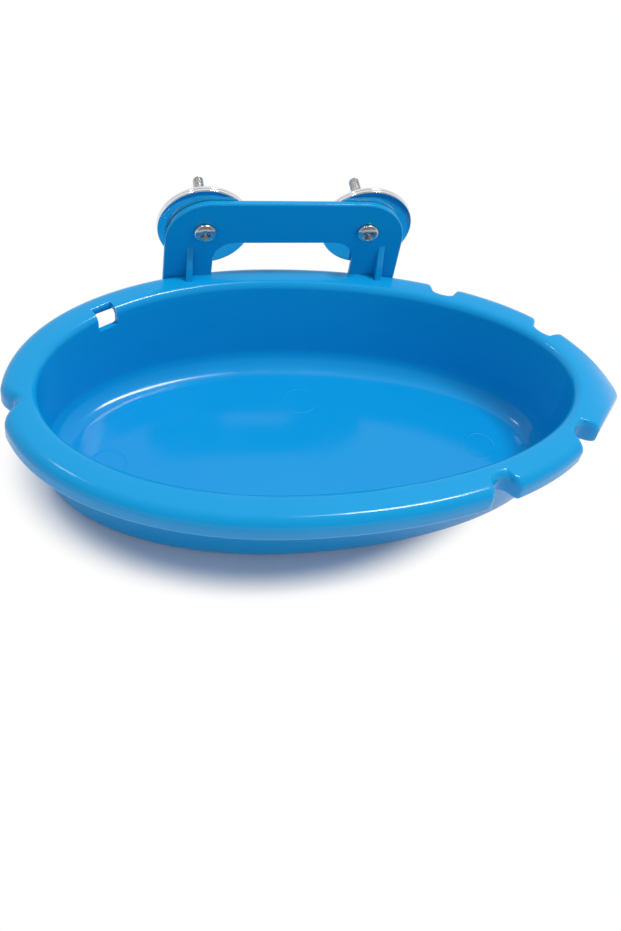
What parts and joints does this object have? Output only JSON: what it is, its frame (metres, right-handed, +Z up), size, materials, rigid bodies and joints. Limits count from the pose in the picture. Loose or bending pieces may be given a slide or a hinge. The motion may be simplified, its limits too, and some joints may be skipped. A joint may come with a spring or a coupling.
{
  "type": "cage bird bath",
  "caption": "Leaf-shaped plastic bird bath with a notched, skirted rim and a bracket that screws, wide washers and wing nuts clamp to the wires of a cage.",
  "frame": {"origin": "on the underside of the bowl, below the widest section of its opening", "axes": "+X along the bowl to its pointed tip, +Y to the bracket and the cage, +Z up"},
  "size_m": [0.2224, 0.1442, 0.0775],
  "materials": {
    "blue_plastic": "glossy moulded",
    "plated_steel": "zinc plated",
    "polished_steel": "mirror polished"
  },
  "bodies": {
    "bath": {"basin": "blue_plastic"},
    "left_screw": {"screw_left": "plated_steel"},
    "left_front_washer": {"front_washer_left": "polished_steel"},
    "left_rear_washer": {"rear_washer_left": "polished_steel"},
    "left_wing_nut": {"wing_nut_left": "plated_steel"},
    "right_screw": {"screw_right": "plated_steel"},
    "right_front_washer": {"front_washer_right": "polished_steel"},
    "right_rear_washer": {"rear_washer_right": "polished_steel"},
    "right_wing_nut": {"wing_nut_right": "plated_steel"}
  },
  "joints": [
    {"name": "left_screw_turn", "type": "hinge", "parent": "bath", "child": "left_screw", "pos_m": [-0.0245, 0.055, 0.0605], "axis": [0, 1, 0], "continuous": true},
    {"name": "left_front_washer_turn", "type": "hinge", "parent": "left_screw", "child": "left_front_washer", "pos_m": [-0.0245, 0.058, 0.0605], "axis": [0, 1, 0], "continuous": true},
    {"name": "left_rear_washer_slide", "type": "slide", "parent": "left_screw", "child": "left_rear_washer", "axis": [0, 1, 0], "range_m": [0, 0.0189]},
    {"name": "left_wing_nut_turn", "type": "hinge", "parent": "left_rear_washer", "child": "left_wing_nut", "pos_m": [-0.0245, 0.06, 0.0605], "axis": [0, 1, 0], "range_deg": [0, 9720]},
    {"name": "right_screw_turn", "type": "hinge", "parent": "bath", "child": "right_screw", "pos_m": [0.0355, 0.055, 0.0605], "axis": [0, 1, 0], "continuous": true},
    {"name": "right_front_washer_turn", "type": "hinge", "parent": "right_screw", "child": "right_front_washer", "pos_m": [0.0355, 0.058, 0.0605], "axis": [0, 1, 0], "continuous": true},
    {"name": "right_rear_washer_slide", "type": "slide", "parent": "right_screw", "child": "right_rear_washer", "axis": [0, 1, 0], "range_m": [0, 0.0189]},
    {"name": "right_wing_nut_turn", "type": "hinge", "parent": "right_rear_washer", "child": "right_wing_nut", "pos_m": [0.0355, 0.06, 0.0605], "axis": [0, 1, 0], "range_deg": [0, 9720]}
  ],
  "couplings": [
    {"joint": "left_wing_nut_turn", "follows": "left_rear_washer_slide", "rad_per_m": 8976},
    {"joint": "right_wing_nut_turn", "follows": "right_rear_washer_slide", "rad_per_m": 8976}
  ]
}
